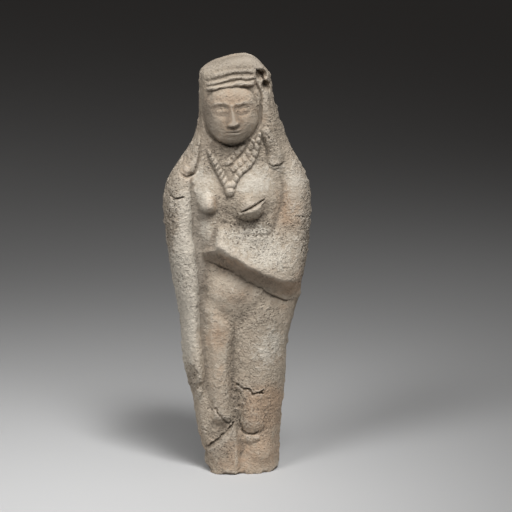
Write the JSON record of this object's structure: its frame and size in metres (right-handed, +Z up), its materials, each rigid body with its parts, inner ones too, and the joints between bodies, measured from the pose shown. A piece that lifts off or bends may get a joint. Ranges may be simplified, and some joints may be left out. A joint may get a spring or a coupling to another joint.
{
  "type": "terracotta figurine",
  "caption": "Standing female figurine of moulded terracotta with a long veil, one arm hanging and one laid across the waist, plain back and flat underside.",
  "frame": {"origin": "centre of the bounding box, on the flat underside that the figurine stands on", "axes": "+Z up along the figure, -Y out of its moulded front, +X to the right of someone who faces it"},
  "size_m": [0.0661, 0.0307, 0.1904],
  "materials": {
    "terracotta": "matt, worn and pitted, with pale encrustation and orange-tan patches"
  },
  "bodies": {
    "root": {"figurine": "terracotta"}
  },
  "joints": []
}
